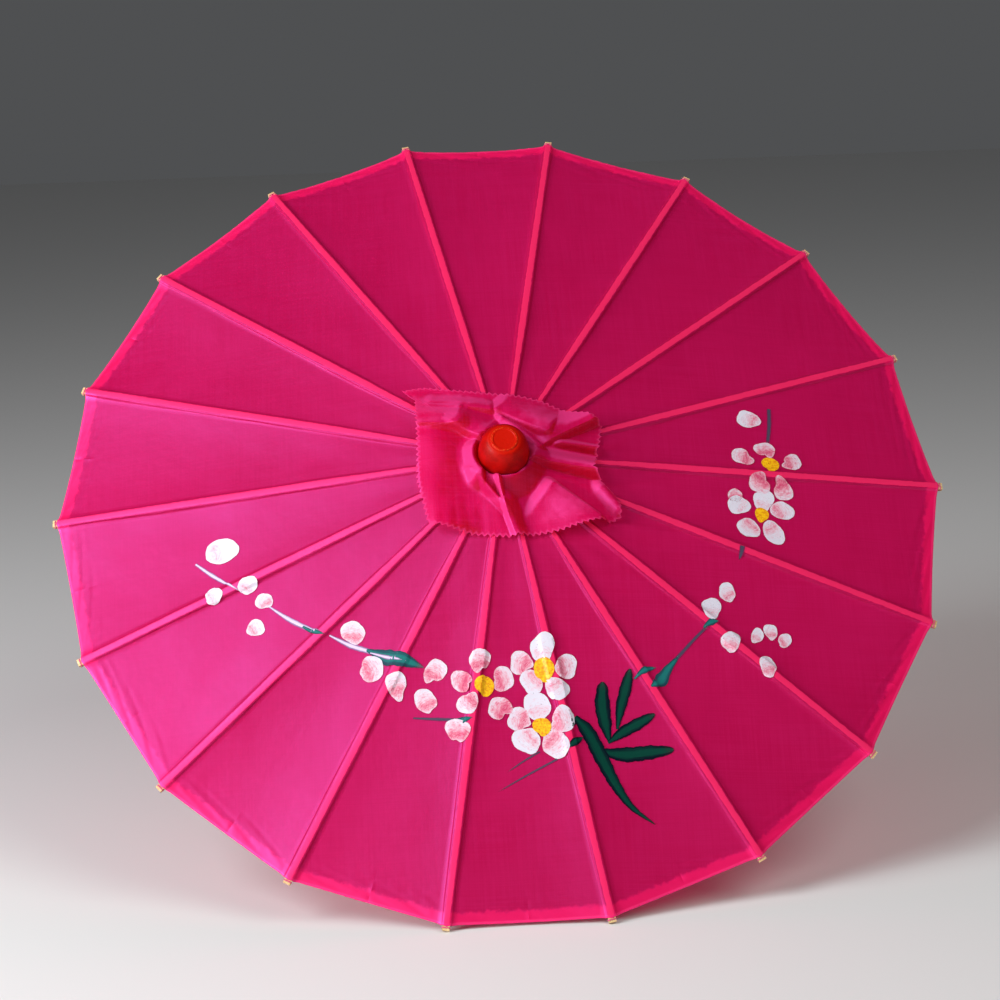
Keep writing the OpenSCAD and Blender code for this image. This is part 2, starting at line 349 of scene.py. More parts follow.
def cloth_material():
    """Sheer dyed nylon: brighter where it is glued to a rib and where the hem doubles it."""
    s = Shader("sheer_cloth")
    where = s.local()
    beside, rim = s.uv("cloth")
    threads, slubs = weave(s, where)
    waver = s.times(s.less(s.noise(where, 0.25, 4.0), 0.5), 1.2)
    strip = s.step(s.add(beside, waver), -0.45, -0.95)
    fold = s.step(s.add(rim, s.times(s.noise(where, 0.22, 4.0), 6.0)), HEM + 4.4, HEM + 1.2)
    edge = s.step(rim, 1.6, 0.8)
    backed = s.math("MAXIMUM", strip, fold)
    clouds = s.noise(where, 0.012, 4.0, 0.6, 0.8)
    dye = s.mix(clouds, rgb(204, 0, 74), rgb(218, 2, 86))
    dye = s.mix(s.step(slubs, 0.8, 1.25, 0.0, 0.14), dye, rgb(238, 40, 132))
    dye = s.mix(fold, dye, rgb(238, 6, 84))
    dye = s.mix(strip, dye, rgb(255, 40, 98))
    dye = s.mix(edge, dye, rgb(255, 44, 112))
    relief = s.bump(threads, 0.03 * MM, 0.5)
    relief = s.bump(s.noise(where, 0.05, 3.0), 1.2 * MM, 0.25, relief)
    rough = s.step(s.add(clouds, s.times(slubs, 0.25)), 0.4, 1.0, 0.42, 0.54)
    face = s.principled({
        "Base Color": dye, "Roughness": rough, "Normal": relief, "IOR": 1.7, "Specular IOR Level": 1.0,
        "Specular Tint": NYLON_GLINT, "Sheen Weight": 0.05, "Sheen Roughness": 0.4, "Sheen Tint": NYLON_SHEEN,
    })
    through = s.node("BsdfTranslucent", {"Color": dye, "Normal": relief}).outputs[0]
    sheer = s.node("BsdfTransparent", {"Color": rgb(255, 30, 100)}).outputs[0]
    woven = s.blend(s.step(backed, 0.0, 1.0, 0.36, 0.16), face, through)
    open_share = s.step(s.add(backed, s.times(slubs, 0.1)), 0.0, 1.0, 0.13, 0.02)
    return s.finish(s.blend(open_share, woven, sheer))


def collar_material():
    """The same nylon, crumpled, with painted light: a pale painted highlight where a fold faces up and to the
    left towards the lamps, and a deep red painted shade in the hollows, where it faces away.
    """
    s = Shader("collar_cloth")
    where = s.local()
    # the collar map's second value tells how far the cloth faces the lamps; it sets the painted light below
    inside, light_facing = s.uv("collar")
    threads, slubs = weave(s, where)
    clouds = s.noise(where, 0.05, 4.0, 0.6, 0.6)
    crumple = s.noise(where, 0.16, 4.0, 0.55, 0.5)
    # noise makes the painted light a little patchy
    light_facing = s.add(light_facing, s.times(s.less(crumple, 0.5), 0.3))
    dye = s.mix(clouds, rgb(202, 0, 72), rgb(220, 0, 86))
    # painted shade: deep red where the cloth faces away from the lamps
    dye = s.mix(s.step(light_facing, -0.06, -0.42, 0.0, 0.95), dye, rgb(190, 0, 14))
    # painted highlight: pale pink where the cloth faces the lamps
    dye = s.mix(s.step(light_facing, 0.04, 0.32, 0.0, 0.9), dye, rgb(240, 58, 136))
    dye = s.mix(s.step(slubs, 0.8, 1.3, 0.0, 0.14), dye, rgb(246, 60, 146))
    dye = s.mix(s.step(inside, 2.2, 0.2, 0.0, 0.5), dye, rgb(248, 70, 146))
    relief = s.bump(threads, 0.03 * MM, 0.6)
    relief = s.bump(crumple, 0.6 * MM, 0.35, relief)
    face = s.principled({
        "Base Color": dye, "Roughness": s.step(clouds, 0.3, 0.8, 0.46, 0.6), "Normal": relief,
        "Specular IOR Level": 0.8, "Specular Tint": NYLON_GLINT, "Sheen Weight": 0.04,
        "Sheen Roughness": 0.35, "Sheen Tint": NYLON_SHEEN,
    })
    through = s.node("BsdfTranslucent", {"Color": s.mix(clouds, rgb(255, 0, 40), rgb(255, 0, 70)),
                                         "Normal": relief}).outputs[0]
    return s.finish(s.blend(0.3, face, through))


def petal_material():
    """White brush-on paint, thin and pinkish in the middle of a dab."""
    s = Shader("petal_paint")
    where = s.local()
    along, across = s.uv("stroke")
    tone, _ = s.uv("tone")
    # the brush turns about the petal's foot, so its bristles leave arcs
    from_foot = s.add(along, 1.1)
    arc = s.length(from_foot, across)
    sweep = s.math("ARCTAN2", across, from_foot)
    bristles = s.noise(s.join(s.times(arc, 5.0), s.times(sweep, 1.3), tone), 2.2, 4.0, 0.65, 0.4)
    mottle = s.noise(where, 0.55, 4.0, 0.65)
    thin = s.add(s.times(bristles, 0.55), s.times(mottle, 0.45))
    out = s.length(along, across)
    rim = s.step(s.add(out, s.times(along, 0.25)), 0.55, 1.0)
    hollow = s.step(s.add(s.math("ABSOLUTE", s.add(along, 0.35)), s.times(mottle, 0.6)), 0.95, 0.3)
    wet = s.add(thin, s.times(s.less(tone, 0.45), 0.4))
    wet = s.add(wet, s.times(hollow, 0.16))
    wet = s.less(wet, s.times(rim, 0.12))
    paint = s.ramp(wet, [(0.36, rgb(218, 213, 225)), (0.5, rgb(222, 190, 204)),
                         (0.62, rgb(222, 140, 160)), (0.78, rgb(206, 72, 110))])
    specks = s.step(s.noise(where, 1.1, 2.0, 0.5), 0.68, 0.72, 0.0, 0.6)
    paint = s.mix(specks, paint, rgb(130, 112, 136))
    return s.finish(s.principled({
        "Base Color": paint, "Roughness": 0.6, "Specular IOR Level": 0.3,
        "Normal": s.bump(s.add(bristles, mottle), 0.25 * MM, 0.7),
    }))


def pollen_material():
    """Orange-yellow paint dabbed on, with dark specks."""
    s = Shader("pollen_paint")
    where = s.local()
    dabs = s.noise(where, 0.7, 4.0, 0.6)
    paint = s.mix(s.step(dabs, 0.35, 0.68), rgb(250, 196, 10), rgb(226, 140, 0))
    paint = s.mix(s.step(s.noise(where, 1.3, 2.0), 0.66, 0.7, 0.0, 0.8), paint, rgb(110, 60, 20))
    return s.finish(s.principled({
        "Base Color": paint, "Roughness": 0.5, "Normal": s.bump(dabs, 0.3 * MM, 0.8)}))


def stroke_material(name, core, edge, dry):
    """A long brush stroke: one colour down its middle, another along its edges, and drier towards its end."""
    s = Shader(name)
    along, across = s.uv("stroke")
    tone, _ = s.uv("tone")
    bristles = s.noise(s.join(s.times(across, 3.0), s.times(along, 1.2), tone), 2.0, 3.0, 0.6, 0.2)
    side = s.add(s.math("ABSOLUTE", across), s.times(s.less(bristles, 0.5), 0.9))
    paint = s.mix(s.step(side, 0.25, 0.85), core, edge)
    body = s.principled({
        "Base Color": paint, "Roughness": 0.55, "Specular IOR Level": 0.15,
        "Normal": s.bump(bristles, 0.15 * MM, 0.6)})
    clear = s.node("BsdfTransparent").outputs[0]
    worn = s.add(s.times(s.step(along, 0.72, 1.0), 0.55), s.times(bristles, 0.5))
    return s.finish(s.blend(s.step(worn, 0.42, 0.85, 0.0, dry), body, clear))


def radial(s):
    """(distance from the shaft's axis, place across the nearest rib's plane, height, rib count) in mm."""
    x, y, z = s.split(s.local())
    reach = s.length(x, y)
    turn = s.math("ARCTAN2", x, s.times(y, -1.0))
    turn = s.math("MODULO", s.add(turn, 2 * math.pi), 2 * math.pi)
    count = s.math("FLOOR", s.math("DIVIDE", turn, 2 * HALF_PITCH))
    middle = s.times(s.add(count, 0.5), 2 * HALF_PITCH)
    across = s.times(reach, s.math("SINE", s.less(turn, middle)))
    return reach, across, z, count


def bamboo_material(name, pale, brown, node_every):
    """Split bamboo: long fibres, a little different from rib to rib, and a darker joint here and there."""
    s = Shader(name)
    reach, across, z, count = radial(s)
    grain_at = s.join(s.times(reach, 0.035), s.add(across, s.times(count, 7.3)), z)
    fibres = s.noise(grain_at, 1.6, 5.0, 0.65)
    tone = s.noise(s.join(count, s.times(reach, 0.008), 0.0), 3.1, 1.0)
    wood = s.mix(s.step(fibres, 0.3, 0.72), pale, brown)
    wood = s.mix(s.step(tone, 0.35, 0.7, 0.0, 0.5), wood, brown)
    place_in = s.math("MODULO", s.add(reach, s.times(count, 31.0)), node_every)
    joint = s.step(s.math("ABSOLUTE", s.less(place_in, node_every / 2)), 2.2, 0.5)
    wood = s.mix(s.times(joint, 0.5), wood, rgb(120, 78, 40))
    height = s.add(fibres, s.times(joint, 0.8))
    return s.finish(s.principled({
        "Base Color": wood, "Roughness": s.step(fibres, 0.3, 0.8, 0.42, 0.66),
        "Normal": s.bump(height, 0.25 * MM, 0.6), "Specular IOR Level": 0.4}))


def turned_material(name, pale, brown, coat, grain=0.5, rings=0.0):
    """Turned wood with its grain along the shaft; rings darkens it at every such step along the shaft."""
    s = Shader(name)
    where = s.local()
    x, y, z = s.split(where)
    along = s.join(x, y, s.times(z, 0.045))
    fibres = s.noise(along, grain, 6.0, 0.6, 0.7)
    pores = s.noise(s.join(s.times(x, 3.0), s.times(y, 3.0), s.times(z, 0.12)), 1.0, 2.0)
    wood = s.mix(s.step(fibres, 0.3, 0.72), pale, brown)
    wood = s.mix(s.step(pores, 0.62, 0.74, 0.0, 0.45), wood, rgb(84, 48, 24))
    height = s.add(fibres, s.times(pores, 0.6))
    if rings:
        near = s.math("ABSOLUTE", s.less(s.math("MODULO", s.add(z, 1000.0), rings), rings / 2))
        joint = s.step(s.add(near, s.times(fibres, 1.5)), 2.6, 0.8)
        wood = s.mix(s.times(joint, 0.55), wood, rgb(110, 70, 36))
        height = s.add(height, joint)
    return s.finish(s.principled({
        "Base Color": wood, "Roughness": s.step(fibres, 0.3, 0.8, 0.34, 0.56), "Coat Weight": coat,
        "Coat Roughness": 0.22, "Normal": s.bump(height, 0.2 * MM, 0.5)}))


FINIAL_TOP_R = 8.5  # of the flat top


def lacquer_material():
    """Orange-red lacquer: a scuffed pale ring round the flat top, chips, and a painted shade that darkens its
    foot.
    """
    s = Shader("red_lacquer")
    where = s.local()
    x, y, z = s.split(where)
    out = s.length(x, y)
    on_top = s.step(z, 19.5, 20.2)
    clouds = s.noise(where, 0.16, 4.0, 0.6)
    paint = s.mix(s.step(clouds, 0.35, 0.7), rgb(180, 4, 0), rgb(150, 2, 0))
    paint = s.mix(on_top, paint, rgb(188, 16, 0))
    waver = s.times(s.less(s.noise(where, 0.4, 3.0), 0.5), 1.6)
    from_rim = s.math("ABSOLUTE", s.less(s.add(out, waver), FINIAL_TOP_R - 0.6))
    ring = s.times(s.step(from_rim, 0.75, 0.15), s.step(z, 17.5, 18.6))
    ring = s.times(ring, s.step(s.noise(where, 0.8, 5.0, 0.7), 0.46, 0.66))
    chips = s.times(s.step(s.noise(where, 1.4, 4.0, 0.7), 0.66, 0.72), s.step(z, 12.0, 19.0, 0.15, 0.8))
    worn = s.math("MAXIMUM", ring, chips)
    paint = s.mix(s.times(worn, 0.75), paint, rgb(236, 96, 34))
    # painted shade: the lacquer darkens towards the finial's foot, where the collar cloth closes round it
    paint = s.mix(s.step(z, 9.0, -1.0, 0.0, 0.85), paint, rgb(84, 0, 0))
    height = s.less(s.noise(where, 0.5, 4.0), worn)
    return s.finish(s.principled({
        "Base Color": paint, "Roughness": s.step(worn, 0.0, 1.0, 0.46, 0.66), "Specular IOR Level": 0.14,
        "Normal": s.bump(height, 0.15 * MM, 0.6)}))


def steel_material():
    """Drawn wire with fine scratches and a little dull tarnish."""
    s = Shader("steel_wire")
    where = s.local()
    scratches = s.noise(s.stretch(where, (6.0, 6.0, 0.6)), 1.0, 3.0)
    tarnish = s.noise(where, 0.35, 4.0)
    return s.finish(s.principled({
        "Base Color": s.mix(s.step(tarnish, 0.4, 0.7), rgb(200, 200, 198), rgb(140, 128, 112)),
        "Metallic": 1.0, "Roughness": s.step(s.add(scratches, tarnish), 0.6, 1.4, 0.24, 0.55),
        "Normal": s.bump(scratches, 0.03 * MM, 0.5)}))


def thread_material():
    """Twisted sewing thread."""
    s = Shader("thread")
    along, across = s.uv("stroke")
    twist = s.node("TexWave", {"Vector": s.join(along, across, 0.0), "Scale": 1.6, "Distortion": 0.6},
                   bands_direction="DIAGONAL").outputs["Fac"]
    return s.finish(s.principled({
        "Base Color": s.mix(twist, rgb(200, 20, 90), rgb(250, 90, 150)), "Roughness": 0.7,
        "Sheen Weight": 0.4, "Normal": s.bump(twist, 0.08 * MM, 0.8)}))


CLOTH = cloth_material()
COLLAR = collar_material()
THREADS = thread_material()


# ---- the CAD pieces' finishes ----

def finish_node(name, material):
    """Gives a CAD piece its finish."""
    slots = frame["nodes"][name].data.materials
    slots.clear()
    slots.append(material)


def finish_frame():
    steel = steel_material()
    ribs = bamboo_material("rib_bamboo", rgb(232, 206, 156), rgb(196, 156, 100), 118.0)
    stretchers = bamboo_material("stretcher_bamboo", rgb(226, 196, 144), rgb(186, 144, 90), 83.0)
    turned = turned_material("hub_wood", rgb(214, 178, 128), rgb(172, 128, 78), 0.0)
    cane = turned_material("shaft_bamboo", rgb(220, 184, 126), rgb(186, 142, 84), 0.25, 0.8, 92.0)
    finish_node("shaft", cane)
    finish_node("grip", turned_material("grip_wood", rgb(178, 112, 58), rgb(122, 66, 30), 0.5))
    finish_node("hub", turned)
    finish_node("runner", turned)
    finish_node("finial", lacquer_material())
    for name in ("catch", "hub_tie_wire", "runner_tie_wire"):
        finish_node(name, steel)
    for n in NUMBERS:
        finish_node(f"rib_{n}", ribs)
        finish_node(f"stretcher_{n}", stretchers)


# ---- the canopy ----

CROWN_R = 14.0  # inside this the cloth stays with the hub
STRIP_PLY = 0.12  # the strip over a rib lies on the panel
RING_STEP = 2.6  # between rows of points
RIM_STEP = 1.2  # the same, near the rim
RIM_BAND = 24.0
GORE_COLUMNS = 14
# The cloth rolls over the rim: (out, down) of each row past its edge
RIM_ROLL = ((0.25, 0.15), (0.25, 0.45), (-0.3, 0.6))
HEM_DROP = 0.5  # the turned-in hem lies this far under the cloth


def panel_rings():
    """The rib radii of the rows of points."""
    near = CLOTH_R - RIM_BAND
    inner, outer = np.arange(CROWN_R, near, RING_STEP), np.arange(near, CLOTH_R, RIM_STEP)
    return np.concatenate([inner, outer, [CLOTH_R]])


def panel_columns(r, k, side):
    """Distances of a row's points from the rib's line: over the rib, down its step and over the gore."""
    half = strip_half(r)
    edge = np.minimum(strip_edge(r, k + 0.37 * side), 0.9 * (gore_half(r) - half))
    over = [half * share for share in (0, 0.5, 1)]
    beside = [half + edge * share for share in (0.2, 0.4, 0.6, 0.8, 1)]
    rest = gore_half(r) - half - edge
    gore = [half + edge + rest * share for share in np.linspace(0, 1, GORE_COLUMNS + 1)[1:]]
    return np.array([*over, *beside, *gore])


def cloth_rows(k, strip):
    """(rows of points, distances from the strip's edge) of the strip over rib k, or of all its cloth."""
    rows, beside = [], []
    for r in panel_rings():
        row, off = [], []
        for side in (-1, 1):
            columns = panel_columns(r, k, side)[:8 if strip else None]
            columns = columns[1:] if side > 0 else columns[::-1]
            row.append(cloth_point(r, columns, k, side))
            off.append(columns - strip_half(r))
        rows.append(np.concatenate(row))
        beside.append(np.concatenate(off))
    for out, down in RIM_ROLL:
        turned = rows[len(panel_rings()) - 1].copy()
        turned[:, :2] *= 1 + out / CLOTH_R
        turned[:, 2] -= down + out * math.tan(SLOPE)
        rows.append(turned)
        beside.append(beside[-1])
    return rows, beside


def cloth_piece(name, rows, beside, rim):
    """A piece of the cover, with each point's distances from the strip's edge and from the rim."""
    count = rows[0].shape[0]
    layer = np.stack([np.concatenate(beside), np.repeat(rim, count)], axis=1)
    piece = make_piece(name, np.concatenate(rows), grid_faces(len(rows), count), {"cloth": layer})
    piece.data.materials.append(CLOTH)
    return piece


def canopy_panel(k):
    """The cloth that rib k carries, half way to each neighbour, with its hem turned in against its back."""
    rings = panel_rings()
    rows, beside = cloth_rows(k, strip=False)
    back = [i for i, r in enumerate(rings) if 1 < CLOTH_R - r <= HEM][::-1]
    for i in back:
        under = rows[i].copy()
        under[:, 2] -= HEM_DROP
        rows.append(under)
    rim = list(CLOTH_R - rings) + [0.0] * len(RIM_ROLL) + [CLOTH_R - rings[i] for i in back]
    return cloth_piece(f"canopy_panel_{k:02d}", rows, beside + [beside[i] for i in back], rim)


def canopy_strip(k):
    """The narrow strip that is glued along the top of rib k and keeps its width when the parasol closes."""
    rows, beside = cloth_rows(k, strip=True)
    for row in rows:
        row[:, 2] += STRIP_PLY
    rim = list(CLOTH_R - panel_rings()) + [0.0] * len(RIM_ROLL)
    return cloth_piece(f"canopy_strip_{k:02d}", rows, beside, rim)


def fold_with_rib(piece, k):
    """Makes a piece of cloth ride on rib k, with its own copy of its mesh."""
    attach(piece, f"rib_{k:02d}")
    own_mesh(piece)


def make_canopy():
    for k in range(1, RIBS + 1):
        panel = canopy_panel(k)
        fold_with_rib(panel, k)
        strip = canopy_strip(k)
        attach(strip, f"rib_{k:02d}")
        for piece in (panel, strip):
            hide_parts("canopy")


def crown(name, inner, outer, lift, material, layer, value, node):
    """The ring of cloth that stays pinched between the hub and the finial; value fills its UV map."""
    radii, turn = np.linspace(inner, outer, 5), np.linspace(0, 2 * math.pi, 73)[:-1]
    points = [[r * math.sin(a), -r * math.cos(a), lift - r * math.tan(SLOPE)] for r in radii for a in turn]
    layers = {layer: np.tile(value, (len(points), 1))}
    piece = make_piece(name, points, grid_faces(len(radii), len(turn), True), layers)
    piece.data.materials.append(material)
    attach(piece, "root")
    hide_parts(node)


# ---- the collar cloth under the finial ----

# Its outline on the face, clockwise from its upper left corner
COLLAR_OUTLINE = [
    (-60, 58), (-46, 59), (-16, 52), (15, 46), (28, 42), (38, 36), (54, 31), (63, 26), (59, 7), (55, -9),
    (70, -27), (70, -38), (57, -43), (33, -48), (5, -51), (-25, -47), (-48, -41), (-53, -12), (-52, 14),
    (-52, 49),
]
TOOTH = 3.7  # pitch of the pinked edge
TOOTH_DEPTH = 2.0
COLLAR_START = 13.0  # inside this the collar stays with the finial
COLLAR_COLUMNS = 28  # in each sector
COLLAR_RINGS = 44
FOLD_END = 9.0  # how far a fold runs on past its ends
TINY = 1e-9

# Folds: (start, end, height at each end, width on the left and on the right of the way it runs)
COLLAR_FOLDS = [
    ((-52, 22), (-50, -44), (7.0, 8.5), (34, 5)),       # swell along the left edge, down to the finial
    ((-54, 28), (-28, 24), (8.5, 7.5), (26, 4)),        # pale band across the upper left
    ((-28, 24), (-13, 14), (7.5, 5.5), (22, 4)),
    ((-42, 44), (-8, 35), (3.2, 3.6), (10, 3)),         # crease in that band
    ((0, 34), (27, 17), (4.0, 6.0), (20, 5)),
    ((2, 27), (23, 6), (4.5, 5.5), (2.4, 6)),           # rim that runs past the finial's upper right
    ((31, 12), (57, 26), (4.0, 9.0), (17, 2.4)),        # lobe at the upper right
    ((38, 9), (63, 6), (4.0, 7.0), (5, 2.4)),
    ((19, -4), (62, -12), (5.5, 11.5), (13, 2.2)),      # the raised pleat to the right
    ((-16, 6), (-14, -13), (5.0, 6.5), (2, 12)),        # cloth pinched up to the finial's left
    ((-20, -11), (-1, -33), (5.5, 5.5), (2.2, 3.6)),    # the left arm of the Y below the finial
    ((-5, -16), (-1, -33), (5.5, 5.5), (2.4, 1.8)),     # its right arm
    ((-1, -32), (6, -54), (6.5, 4.0), (9, 2.6)),        # its stem
    ((30, -20), (56, -41), (5.0, 10.0), (5, 30)),       # lobe at the lower right
    ((60, -20), (69, -33), (3.0, 5.0), (5, 6)),
]


def ridge(x, y, start, end, heights, widths):
    """Height of one fold: a crest from start to end that falls off to each side within its width."""
    way = np.subtract(end, start)
    length = np.hypot(*way)
    ux, uy = way / length
    run = (x - start[0]) * ux + (y - start[1]) * uy
    off = (y - start[1]) * ux - (x - start[0]) * uy
    share = np.clip(run / length, 0, 1)
    beyond = np.maximum(np.maximum(-run, run - length), 0)
    width = np.where(off > 0, widths[0], widths[1])
    far = np.sqrt((off / width) ** 2 + (beyond / FOLD_END) ** 2)
    return (heights[0] + (heights[1] - heights[0]) * share) * smooth(1.12 - far)


def collar_height(x, y):
    """Height of the collar over the canopy."""
    reach = np.hypot(x, y)
    turn = np.arctan2(x, -y)
    hug = 2.2 + 6.3 * smooth(1 - np.abs(turn - 0.2) / 2.4)
    lift = 1.1 + hug * smooth((reach - 14.8) / 1.4) * (1 - smooth((reach - 16.4) / 13))
    lift = lift + 0.6 * smooth((reach - 20) / 16)
    folds = np.zeros_like(x)
    for fold in COLLAR_FOLDS:
        height = ridge(x, y, *fold)
        folds = np.maximum(folds, height) + 0.25 * np.minimum(folds, height)
    lift = lift + folds * smooth((reach - 14.5) / 5)
    pleats = 0.1 * smooth((-y - 22) / 20) * smooth((2 - x) / 12) * np.sin(x * 0.8 + 0.05 * y)
    crumple = 0.8 * np.sin(0.12 * x + 0.9 * np.sin(0.07 * y)) * np.sin(0.1 * y + 1.3 + 0.03 * x)
    return lift + (pleats + crumple) * smooth((reach - 18) / 14)


def collar_light_facing(x, y):
    """How steeply the collar rises down the face and to the right, so how far it faces up and to the left,
    towards the lamps; it falls away where this is below zero. The collar's finish paints highlight and shade
    from it.
    """
    right = collar_height(x + 0.5, y) - collar_height(x - 0.5, y)
    down = collar_height(x, y - 0.5) - collar_height(x, y + 0.5)
    return 0.7 * (right + down)


def collar_edge(turn):
    """(distance to the outline, distance round it) in directions turn, from down the face to the right."""
    corner = np.array(COLLAR_OUTLINE, float)
    following = np.roll(corner, -1, axis=0)
    lengths = np.hypot(*(following - corner).T)
    before = np.concatenate([[0], np.cumsum(lengths)[:-1]])
    reach, run = np.zeros_like(turn), np.zeros_like(turn)
    for i, a in enumerate(turn):
        way = np.array([math.sin(a), -math.cos(a)])
        for start, step, length, travelled in zip(corner, following - corner, lengths, before):
            across = way[0] * step[1] - way[1] * step[0]
            if abs(across) < TINY:
                continue
            share = (way[1] * start[0] - way[0] * start[1]) / across
            out = (start[0] * step[1] - start[1] * step[0]) / across
            if -TINY <= share <= 1 + TINY and out > reach[i]:
                reach[i], run[i] = out, travelled + share * length
    return reach, run


def collar_sector(k):
    """The part of the collar cloth that rib k carries."""
    turn = (2 * k - 1) * HALF_PITCH + np.linspace(-1, 1, COLLAR_COLUMNS + 1) * HALF_PITCH
    reach, run = collar_edge(turn)
    teeth = np.abs(np.mod(run / TOOTH, 1) - 0.5) * 2
    reach = reach + TOOTH_DEPTH * (teeth - 0.5)
    shares = np.linspace(0, 1, COLLAR_RINGS) ** 0.9
    r = COLLAR_START + shares[:, None] * (reach - COLLAR_START)
    x, y = r * np.sin(turn), -r * np.cos(turn)
    from_middle = HALF_PITCH - np.abs(turn - (2 * k - 1) * HALF_PITCH)
    z = collar_height(x, y) - r * np.cos(from_middle) / math.cos(HALF_PITCH) * math.tan(SLOPE)
    points = np.stack([x, y, z], axis=-1).reshape(-1, 3)
    inside = (reach - r).ravel()
    # the collar map holds each point's distance in from the outline and how far it faces the lamps, for the
    # painted highlight and shade
    piece = make_piece(f"collar_sector_{k:02d}", points, grid_faces(COLLAR_RINGS, COLLAR_COLUMNS + 1),
                       {"collar": np.stack([inside, collar_light_facing(x, y).ravel()], axis=1)})
    piece.data.materials.append(COLLAR)
    return piece, float(reach.mean())


def make_collar():
    for k in range(1, RIBS + 1):
        piece, reach = collar_sector(k)
        fold_with_rib(piece, k)
        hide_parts("collar_patch")


# ---- the painting ----

# How far each layer of paint lies over the cloth
LAYERS = {"twig": 0.26, "leaf": 0.3, "petal": 0.36, "pollen": 0.52}
KINDS = ["petal", "pollen", "leaf", "teal", "pale_twig", "dark_twig"]
STROKE_STEP, LEAF_STEP = 1.0, 0.6  # between points along a brush stroke


class Painting:
    """Brush strokes that lie on the cloth, gathered rib by rib so that each rib's share folds with it."""

    def __init__(self):
        self.strokes = []
        self.laid = 0

    def lay(self, kind, layer, x, y, uv, faces, tone):
        """Adds one stroke: its outline points on the face, its own coordinates and its faces."""
        self.laid += 1
        lift = LAYERS[layer] + 0.012 * (self.laid % 9)
        self.strokes.append((KINDS.index(kind), lift, np.asarray(x, float), np.asarray(y, float),
                             np.asarray(uv, float), faces, tone))

    def dab(self, kind, at, size, angle, tone, wobble=0.14):
        """A round dab of paint, in the layer of its name; size is its width and its length along angle."""
        rings, around = 7, 30
        seed = at[0] * 0.37 + at[1] * 0.73
        x, y, uv = [at[0]], [at[1]], [(0.0, 0.0)]
        for ring in range(1, rings + 1):
            for step in range(around):
                a = 2 * math.pi * step / around
                waver = math.sin(2 * a + seed) + 0.6 * math.sin(3 * a + 2.9 * seed)
                waver += 0.3 * math.sin(5 * a - 1.3 * seed)
                rough = 1 + wobble / 1.6 * waver * ring / rings + 0.012 * math.sin(11 * a + seed)
                # the brush leaves a bite out of a thinly painted petal's foot
                rough -= 0.42 * tone * math.exp(-((a - math.pi - 0.8 * math.sin(seed)) / 0.45) ** 2)
                # narrower at its foot, and blunt at its end
                u, v = math.cos(a) * ring / rings, math.sin(a) * ring / rings
                w = v * (1 + 0.18 * u)
                px, py = u * size[1] / 2 * rough, w * size[0] / 2 * rough
                x.append(at[0] + px * math.cos(angle) - py * math.sin(angle))
                y.append(at[1] + px * math.sin(angle) + py * math.cos(angle))
                uv.append((u, v))
        faces = [(0, 1 + step, 1 + (step + 1) % around) for step in range(around)]
        for ring in range(rings - 1):
            for step in range(around):
                a, b = 1 + ring * around + step, 1 + ring * around + (step + 1) % around
                faces.append((a, a + around, b + around, b))
        self.lay(kind, kind, x, y, uv, faces, tone)

    def sweep(self, kind, layer, route, widths, tone):
        """A brush stroke along a route of a few points, with its widths at those points."""
        route, widths = np.array(route, float), np.array(widths, float)
        lengths = np.concatenate([[0], np.cumsum(np.hypot(*np.diff(route, axis=0).T))])
        count = max(int(lengths[-1] / (LEAF_STEP if kind == "leaf" else STROKE_STEP)), 6)
        at = np.linspace(0, lengths[-1], count + 1)
        line = np.stack([curve(lengths, route[:, 0], at), curve(lengths, route[:, 1], at)], axis=1)
        width = np.interp(at, lengths, widths) * np.sqrt(np.clip((lengths[-1] - at + 0.3) / 3, 0, 1))
        way = np.gradient(line, axis=0)
        way /= np.hypot(*way.T)[:, None]
        side = np.stack([-way[:, 1], way[:, 0]], axis=1)
        columns = np.linspace(-1, 1, 9)
        waver = 1 + 0.07 * ripple(at * 0.9, route[0, 0])
        points = line[:, None] + side[:, None] * (width * waver / 2)[:, None, None] * columns[None, :, None]
        uv = np.stack(np.broadcast_arrays((at / lengths[-1])[:, None], columns[None]), axis=-1)
        faces = [face[::-1] for face in grid_faces(len(at), len(columns))]
        self.lay(kind, layer, points[..., 0].ravel(), points[..., 1].ravel(), uv.reshape(-1, 2), faces, tone)

    def flower(self, centre, petals, pollen):
        """Petals round a yellow centre; each petal is (x, y, width, length, tone)."""
        for x, y, width, length, tone in petals:
            outward = math.atan2(y - centre[1], x - centre[0])
            self.dab("petal", (x, y), (width, length), outward, tone)
        self.dab("pollen", centre, pollen, 1.4, 0.5, 0.06)

    def make(self, materials):
        """Makes each rib's share of the strokes, with the part over the rib's strip as its own piece."""
        shares = {}
        for kind, lift, x, y, uv, faces, tone in self.strokes:
            rib, over, z = cloth_under(x, y)
            for face in faces:
                k = int(np.bincount([rib[i] for i in face]).argmax())
                on_strip = sum(over[i] for i in face) * 2 > len(face)
                share = shares.setdefault((k, on_strip), {
                    "points": [], "uv": [], "tone": [], "faces": [], "kind": [], "seen": {}})
                corners = []
                for i in face:
                    key = (id(faces), i)
                    if key not in share["seen"]:
                        share["seen"][key] = len(share["points"])
                        share["points"].append((x[i], y[i], z[i] + lift))
                        share["uv"].append(uv[i])
                        share["tone"].append((tone, 0.0))
                    corners.append(share["seen"][key])
                share["faces"].append(tuple(corners))
                share["kind"].append(kind)
        for (k, on_strip), share in sorted(shares.items()):
            name = f"painting_{k:02d}_strip" if on_strip else f"painting_{k:02d}"
            layers = {"stroke": share["uv"], "tone": share["tone"]}
            piece = make_piece(name, share["points"], share["faces"], layers, share["kind"])
            for kind in KINDS:
                piece.data.materials.append(materials[kind])
            if on_strip:
                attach(piece, f"rib_{k:02d}")
            else:
                fold_with_rib(piece, k)


